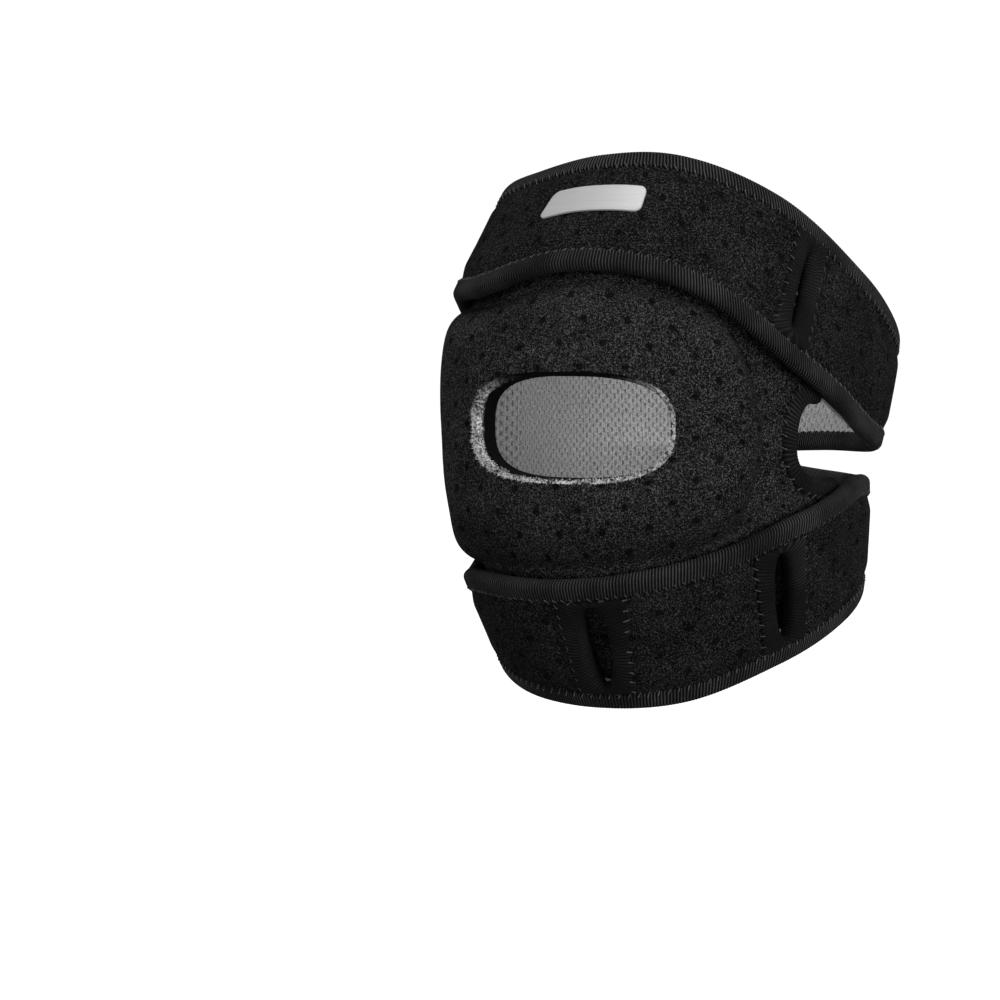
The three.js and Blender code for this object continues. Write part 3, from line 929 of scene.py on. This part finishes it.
rim_shape = swept(len(outer_loop), 7, True, rim_point)
fibre_seed = random.Random(7)
for _ in range(FIBRES):
    k = fibre_seed.randrange(len(outer_loop))
    at_left = outer_loop[k][0] < LEFT_END
    if outer_loop[k][1] > fibre_seed.uniform(-0.1, 0.45) + 0.2 * at_left:
        continue
    row = fibre_seed.choice((0, 0, 1)) if at_left else 0
    start = rim_point(k, row).lerp(rim_point(k + 1, row), fibre_seed.random())
    start = start.lerp(rim_point(k, row + 1), fibre_seed.random())
    middle = Vector((0, start.y, 0))
    lean = (middle - start).normalized() * fibre_seed.uniform(-1.1, 0.5)
    aside = fibre_seed.gauss(0, 0.4)
    forwards = fibre_seed.uniform(0.1, 0.9)
    lean += Vector((aside, -forwards, fibre_seed.gauss(0, 0.4)))
    length = fibre_seed.uniform(FIBRE_SHORTEST, LEFT_FIBRE_LONGEST if at_left else FIBRE_LONGEST)
    turned = lean.to_track_quat("Z", "Y").to_matrix().to_4x4()
    bmesh.ops.create_cone(
        rim_shape,
        cap_ends=False,
        segments=3,
        radius1=FIBRE_RADIUS,
        radius2=0,
        depth=length,
        matrix=Matrix.Translation(start + lean.normalized() * length * 0.4) @ turned,
    )
shown(rim_shape, "window_cut_edge", edge_foam, "window_edge")


# The edge tapes: black ribbed elastic tape, folded over both edges of each strap and sewn down.
# Its ribs run across the tape, so each shows as a fine tooth where the tape folds over, and
# each rib's crest carries a painted highlight.
RIB_PITCH = 0.00086
RIB_RISE = 0.0001
# The tape's height above the cloth at shares of its legs' reach, from its tip to its fold
TAPE_RISES = {1: 0.05, 0.95: 0.6, 0.8: 0.85, 0.6: 0.95, 0.4: 1, 0.22: 1}
FOLD_START = 0.001
FOLD_BULGE = 0.00085
STITCH_PITCH = 0.0026
STITCH_PULL = 0.0005


def ribbed_tape(name, ribs):
    """Black ribbed tape, with ribs that are plain at 1 and gone at 0; each rib's crest carries a
    painted highlight.
    """
    finish = Finish(name, (0.02, 0.02, 0.02))
    place = finish.place()
    flat = finish.place("UV")
    turn = flat.part("X") * (math.pi / UV_STEP)
    # Painted highlight: the tape is lighter on each rib's crest and darker in its grooves.
    crest_and_highlight = turn.maths("COSINE", turn) * -0.5 + 0.5
    fluff = finish.noise(place, 1800, 3, 0.7)
    broad = finish.noise(place, 60, 2)
    crest_and_highlight = crest_and_highlight * ribs + (1 - ribs) * 0.4
    # Painted highlight: this lightness follows the rib crests, broken up by fluff and broad patches.
    thread = crest_and_highlight * (0.5 + fluff * 0.8) * (0.55 + broad.fade(0.2, 0.8) * 0.6)
    base = finish.mix(thread.fade(0.25, 1.1), grey(0.002), grey(0.065))
    bump = finish.bump(fluff + crest_and_highlight * 0.7, 0.0005, 0.9)
    return finish.surface(Base_Color=base, Roughness=0.85, Normal=bump, Specular_IOR_Level=0.1)


tape_finish = ribbed_tape("ribbed_edge_tape", 1)
slot_finish = ribbed_tape("slot_edge_tape", 0.4)
plain_finish = ribbed_tape("plain_edge_tape", 0.25)


def evenly_spaced(line, place, spacing, closed):
    """Points at an even spacing along a line of (angle, across)."""
    ends = line + line[:1] if closed else line
    reached = [0.0]
    for start, end in zip(ends, ends[1:]):
        reached.append(reached[-1] + (place(*end) - place(*start)).length)
    steps = 2 * round(reached[-1] / spacing / 2)
    points = []
    k = 0
    for step in range(steps if closed else steps + 1):
        target = reached[-1] * step / steps
        while k < len(reached) - 2 and reached[k + 1] < target:
            k += 1
        share = (target - reached[k]) / max(reached[k + 1] - reached[k], 1e-9)
        points.append(tuple(Vector(ends[k]).lerp(Vector(ends[k + 1]), share)))
    return points


def into_cloth(line, scale, closed):
    """For each point of a line, the step in (angle, across) that goes a metre to its left."""
    count = len(line)
    steps = []
    for k, (angle, across) in enumerate(line):
        before = line[(k - 1) % count if closed else max(k - 1, 0)]
        after = line[(k + 1) % count if closed else min(k + 1, count - 1)]
        per_degree, per_across = scale(angle, across)
        run = Vector(
            ((after[0] - before[0]) * per_degree, (after[1] - before[1]) * per_across)
        ).normalized()
        steps.append((-run.y / per_degree, run.x / per_across))
    return steps


def folded_tape(line, steps, reach, place, slack, closed, ribs=1, bulge=FOLD_BULGE):
    """Tape folded over an edge: a leg on each face, a round fold, and its ribs.

    Steps go a metre into the cloth from each stop of the line, and reach goes to the
    end of the tape's legs, both in (angle, across).
    """
    turns = [math.radians(turn) for turn in (68, 46, 23, 0, -23, -46, -68)]
    section = [("leg", 1, share) for share in TAPE_RISES]
    section += [("fold", 0, turn) for turn in turns]
    section += [("leg", -1, share) for share in reversed(TAPE_RISES)]
    section += [("under", -1, 1), ("under", -1, 0), ("under", 1, 0), ("under", 1, 1)]
    lift = GAP + slack

    def point(stop, turn):
        kind, side, value = section[turn]
        angle, across = line[stop]
        step = steps[stop]
        far = reach[stop]
        rib = RIB_RISE * ribs * (stop % 2)

        if kind == "leg":
            rise = TAPE_RISES[value] * (lift + TAPE_CLOTH) + rib * (1.2 - value)
            return place(angle + far[0] * value, across + far[1] * value, side, side * rise)
        if kind == "under":
            return place(angle + far[0] * value, across + far[1] * value, side, -side * GAP / 2)
        into = FOLD_START - (FOLD_START + bulge + rib) * math.cos(value)
        folded = (angle + step[0] * into, across + step[1] * into)
        rise = lift + TAPE_CLOTH + rib
        return place(*folded, -1, -rise).lerp(place(*folded, 1, rise), (1 + math.sin(value)) / 2)

    return swept(len(line), len(section), closed, point)


def stitch_pull(stop):
    """How far a tape's edge is drawn in: most at each stitch."""
    return STITCH_PULL * (0.5 + 0.5 * math.cos(stop * math.pi * RIB_PITCH / STITCH_PITCH))


def scalloped(steps):
    """The reach of an edge tape's legs, drawn in a little at each stitch."""
    widths = [TAPE_WIDTH - stitch_pull(stop) for stop in range(len(steps))]
    return [(step[0] * width, step[1] * width) for step, width in zip(steps, widths)]


def strap_place(strap, angle, across, side, out):
    """A place on a strap's outer face, side 1, or on its lining's face, side -1."""
    return strap_at(strap, angle, across, out if side > 0 else STRAP_INNER_FACE + out)


tape_lines = {}
for strap_name in STRAP_OUTLINES:
    on_edge = partial(strap_at, strap_name, out=0)
    for edge_name, edge in (("top", 1), ("bottom", 0)):
        ends = [(angle, edge) for angle in round_strap(240)]
        line = evenly_spaced(ends, on_edge, RIB_PITCH / 2, False)
        steps = []
        for angle, across in line:
            per_degree, per_across = strap_scale(strap_name, angle, across)
            rise = on_edge(angle + 3, edge).z - on_edge(angle - 3, edge).z
            widen = math.hypot(1, rise / (6 * per_degree))
            steps.append((0, (-widen if edge else widen) / per_across))
        reach = scalloped(steps)
        tape_lines[strap_name, edge] = (line, reach)
        strap_face = partial(strap_place, strap_name)
        shape = folded_tape(line, steps, reach, strap_face, 0, False)
        name = strap_name + "_" + edge_name + "_tape"
        shown(shape, name + "_ribbed", tape_finish, name)


# The same tape binds the three finger slots and the side notch. A slot's tape makes a straight
# band at either side of it, from one edge tape to the other, and the notch's tape stops just
# under the two straps.
SLOT_TAPE_WIDTH = 0.0047
BAND_CLEARANCE = 0.0002
# Shares of the slot's half width and half length where its band is full
SLOT_TURN = 0.55
SLOT_SPREAD = 0.88
# A slot below this width has a narrower tape without ribs, whose fold closes the slot
NARROW_SLOT = 0.002
NARROW_SLOT_TAPE = 0.7
NARROW_SLOT_BULGE = 0.0012
NOTCH_TAPE_REACH = 1.0

slot_lines = {}
for name, slot in SLOTS.items():
    on_strap = partial(strap_at, slot.strap, out=0)
    line = evenly_spaced(slot.outline(120)[::-1], on_strap, RIB_PITCH / 2, True)
    steps = into_cloth(line, partial(strap_scale, slot.strap), True)
    band_end = (TAPE_WIDTH + BAND_CLEARANCE) / slot.per_across
    narrow = slot.width < NARROW_SLOT
    band_width = SLOT_TAPE_WIDTH * (NARROW_SLOT_TAPE if narrow else 1)
    reach = []
    for stop, (angle, across) in enumerate(line):
        aside, along = slot.from_middle(angle, across)
        side = max(min(aside / (SLOT_TURN * slot.half_width), 1), -1)
        far_aside = side * (slot.half_width + band_width - stitch_pull(stop))
        end = band_end if along < 0 else 1 - band_end
        spread = clamp(abs(along) / (SLOT_SPREAD * slot.half_length))
        far_angle, far = slot.place(far_aside, slot.across + (end - slot.across) * spread)
        reach.append((far_angle - angle, far - across))
    slot_lines[name] = (line, reach)
    shape = folded_tape(
        line,
        steps,
        reach,
        partial(strap_place, slot.strap),
        BENT_TAPE_SLACK,
        True,
        ribs=0 if narrow else 0.6,
        bulge=NARROW_SLOT_BULGE if narrow else FOLD_BULGE,
    )
    finish = plain_finish if narrow else slot_finish
    shown(shape, name + "_ribbed", finish, name)


def notch_place(angle, across, side, out):
    """A place on the panel's outer face or its lining's face, also just under a strap."""
    past = abs(across) - 1
    if past > 0:
        strap = "upper" if across > 0 else "lower"
        width = strap_scale(strap, angle, 0)[1]
        across = math.copysign(1 + past * panel_scale(angle, 0)[1] / width, across)
    if side > 0:
        return panel_outer(angle, across, out)
    return panel_inner(angle, across, out - GAP - LINING_CLOTH)


open_notch = [point for point in reversed(notch_line) if abs(point[1]) < NOTCH_TAPE_REACH]
notch_stops = evenly_spaced(open_notch, panel_outer, RIB_PITCH / 2, False)
notch_steps = into_cloth(notch_stops, panel_scale, False)
notch_reach = scalloped(notch_steps)
notch_shape = folded_tape(notch_stops, notch_steps, notch_reach, notch_place, BENT_TAPE_SLACK, False)
shown(notch_shape, "side_notch_tape_ribbed", slot_finish, "side_notch_tape")


# The patch on the upper strap: a satin silver-grey slip with rounded corners, left bare. It is
# heat-pressed on, so it follows the cloth and stands up by less than its own thickness.
LABEL_LENGTH = 0.0308
LABEL_ANGLE = 1.9
LABEL_BOTTOM = 0.45
LABEL_TOP = 0.675
LABEL_SLANT = 2.2
LABEL_CORNER = 0.002
LABEL_CLOTH = 0.0006
LABEL_SQUARE = 0.0022
LABEL_LIFT = GAP * 0.4


def strap_patch(strap, corners, corner_radius, thickness, spacing, lift):
    """A flat patch with rounded corners, cut into squares and bent onto a strap's outer face."""
    middle_angle = sum(angle for angle, _ in corners) / 4
    middle = sum(across for _, across in corners) / 4
    per_degree, per_across = strap_scale(strap, middle_angle, middle)
    shape = bmesh.new()
    points = [
        shape.verts.new(((angle - middle_angle) * per_degree, (across - middle) * per_across, 0))
        for angle, across in corners
    ]
    shape.faces.new(points)
    round_off = partial(bmesh.ops.bevel, shape, profile=0.5, material=-1)
    round_off(geom=shape.verts[:], offset=corner_radius, segments=6, affect="VERTICES")
    made = bmesh.ops.extrude_face_region(shape, geom=shape.faces[:], use_keep_orig=True)["geom"]
    lifted = [item for item in made if isinstance(item, bmesh.types.BMVert)]
    bmesh.ops.translate(shape, verts=lifted, vec=(0, 0, thickness))
    rim = [edge for edge in shape.edges if all(vert.co.z > thickness / 2 for vert in edge.verts)]
    round_off(geom=rim, offset=thickness * 0.35, segments=3, affect="EDGES")
    for normal in (Vector((1, 0, 0)), Vector((0, 1, 0))):
        count = int(max(abs(vert.co.dot(normal)) for vert in shape.verts) / spacing)
        for k in range(-count, count + 1):
            parts = shape.verts[:] + shape.edges[:] + shape.faces[:]
            bmesh.ops.bisect_plane(
                shape, geom=parts, plane_co=normal * k * spacing, plane_no=normal
            )
    lay_flat(shape, lambda vert: vert.co.xy)
    for vert in shape.verts:
        angle = middle_angle + vert.co.x / per_degree
        across = middle + vert.co.y / per_across
        out = vert.co.z + lift + strap_puff(strap, angle, across)
        vert.co = strap_at(strap, angle, across, out)
    return shape


def satin_slip(name):
    finish = Finish(name, (0.5, 0.5, 0.5))
    place = finish.place()
    brushed = finish.node(
        "ShaderNodeMapping", {}, {"Vector": place, "Scale": (60, 60, 2600)}
    )
    grain = finish.noise(brushed, 1, 3, 0.6)
    smudge = finish.noise(place, 140, 3)
    base = finish.mix(grain, grey(0.36), grey(0.46))
    bump = finish.bump(grain, 0.0001, 0.15)
    return finish.surface(
        Base_Color=base, Roughness=0.38 + smudge * 0.2, Metallic=0.1, Normal=bump
    )


label_half = LABEL_LENGTH / 2 / strap_scale("upper", LABEL_ANGLE, LABEL_BOTTOM)[0]
label_corners = [
    (LABEL_ANGLE - label_half, LABEL_BOTTOM),
    (LABEL_ANGLE + label_half - 0.75 * LABEL_SLANT, LABEL_BOTTOM),
    (LABEL_ANGLE + label_half, LABEL_TOP),
    (LABEL_ANGLE - label_half + LABEL_SLANT, LABEL_TOP),
]
label_shape = strap_patch(
    "upper", label_corners, LABEL_CORNER, LABEL_CLOTH, LABEL_SQUARE, LABEL_LIFT
)
shown(label_shape, "label_slip", satin_slip("satin_slip"), "label_patch")


# The closure: on the back of each strap a plain tab, with hooks on its hidden side, laps over
# the strap's two ends. The photograph hides it, so it is kept plain.
TAB_LENGTH = 0.030
TAB_CLOTH = 0.0014
TAB_BOTTOM = 0.22
TAB_TOP = 0.78
TAB_CORNER = 0.004
TAB_SQUARE = 0.0025

for strap_name in STRAP_OUTLINES:
    tab_half = TAB_LENGTH / 2 / strap_scale(strap_name, STRAP_SEAM, 0.5)[0]
    tab_corners = [
        (STRAP_SEAM - tab_half, TAB_BOTTOM),
        (STRAP_SEAM + tab_half, TAB_BOTTOM),
        (STRAP_SEAM + tab_half, TAB_TOP),
        (STRAP_SEAM - tab_half, TAB_TOP),
    ]
    tab_shape = strap_patch(strap_name, tab_corners, TAB_CORNER, TAB_CLOTH, TAB_SQUARE, GAP)
    tab_name = strap_name + "_hook_tab"
    shown(tab_shape, tab_name + "_cloth", strap_cloth, tab_name)


# The sewing: black thread in short slanting stitches over the inner edge of every tape, which
# hold the tape, the cloth and the lining together. Each stitch shows as a small bright dash.
THREAD_RADIUS = 0.00017
STITCH_LENGTH = 0.0017
# A stitch's height over the tape and over the cloth
THREAD_OVER_TAPE = 0.00005
THREAD_OVER_CLOTH = 0.0001


def thread(name):
    finish = Finish(name, (0.08, 0.08, 0.08))
    place = finish.place()
    twist = finish.noise(place, 2400, 2)
    base = finish.mix(twist.fade(0.3, 0.7), grey(0.01), grey(0.075))
    bump = finish.bump(twist, 0.0001, 0.5)
    return finish.surface(Base_Color=base, Roughness=0.6, Normal=bump)


thread_finish = thread("sewing_thread")


def sewn(shape, line, reach, surface, seed):
    """Stitches across the ends of a tape's legs, one to each scallop.

    Surface places a point that lies a share of the legs' reach from the cloth's edge.
    """
    uneven = random.Random(seed)
    stride = STITCH_PITCH / (RIB_PITCH / 2)
    for number in range(int(len(line) / stride)):
        stop = min(round(number * stride), len(line) - 3)
        slant = uneven.choice((1, 2))
        ends = []
        for place, share in ((stop, 0.86), (stop + slant, 1.13)):
            angle, across = line[place]
            far = reach[place]
            ends.append(surface(angle + far[0] * share, across + far[1] * share, share))
        start, end = ends
        run = end - start
        turned = run.to_track_quat("Z", "Y").to_matrix().to_4x4()
        bmesh.ops.create_cone(
            shape,
            cap_ends=True,
            segments=6,
            radius1=THREAD_RADIUS,
            radius2=THREAD_RADIUS * 0.8,
            depth=min(run.length, STITCH_LENGTH) * uneven.uniform(0.75, 1),
            matrix=Matrix.Translation((start + end) / 2) @ turned,
        )


def on_strap_tape(strap, angle, across, share):
    height = GAP + TAPE_CLOTH + THREAD_OVER_TAPE if share < 1 else THREAD_OVER_CLOTH
    return strap_at(strap, angle, across, height)


for strap_name in STRAP_OUTLINES:
    sewing = bmesh.new()
    on_tape = partial(on_strap_tape, strap_name)
    for edge in (1, 0):
        sewn(sewing, *tape_lines[strap_name, edge], on_tape, 11 + edge)
    for name, slot in SLOTS.items():
        if slot.strap == strap_name:
            sewn(sewing, *slot_lines[name], on_tape, 17)
    shown(sewing, strap_name + "_strap_stitches", thread_finish, None)


def on_notch_tape(angle, across, share):
    height = GAP + BENT_TAPE_SLACK + TAPE_CLOTH if share < 1 else THREAD_OVER_CLOTH
    return notch_place(angle, across, 1, height)


notch_sewing = bmesh.new()
sewn(notch_sewing, notch_stops, notch_reach, on_notch_tape, 23)
shown(notch_sewing, "side_notch_stitches", thread_finish, None)

boxes = {"cad": cad_box, "visual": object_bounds()}
{name: [list(corner) for corner in box] for name, box in boxes.items()}
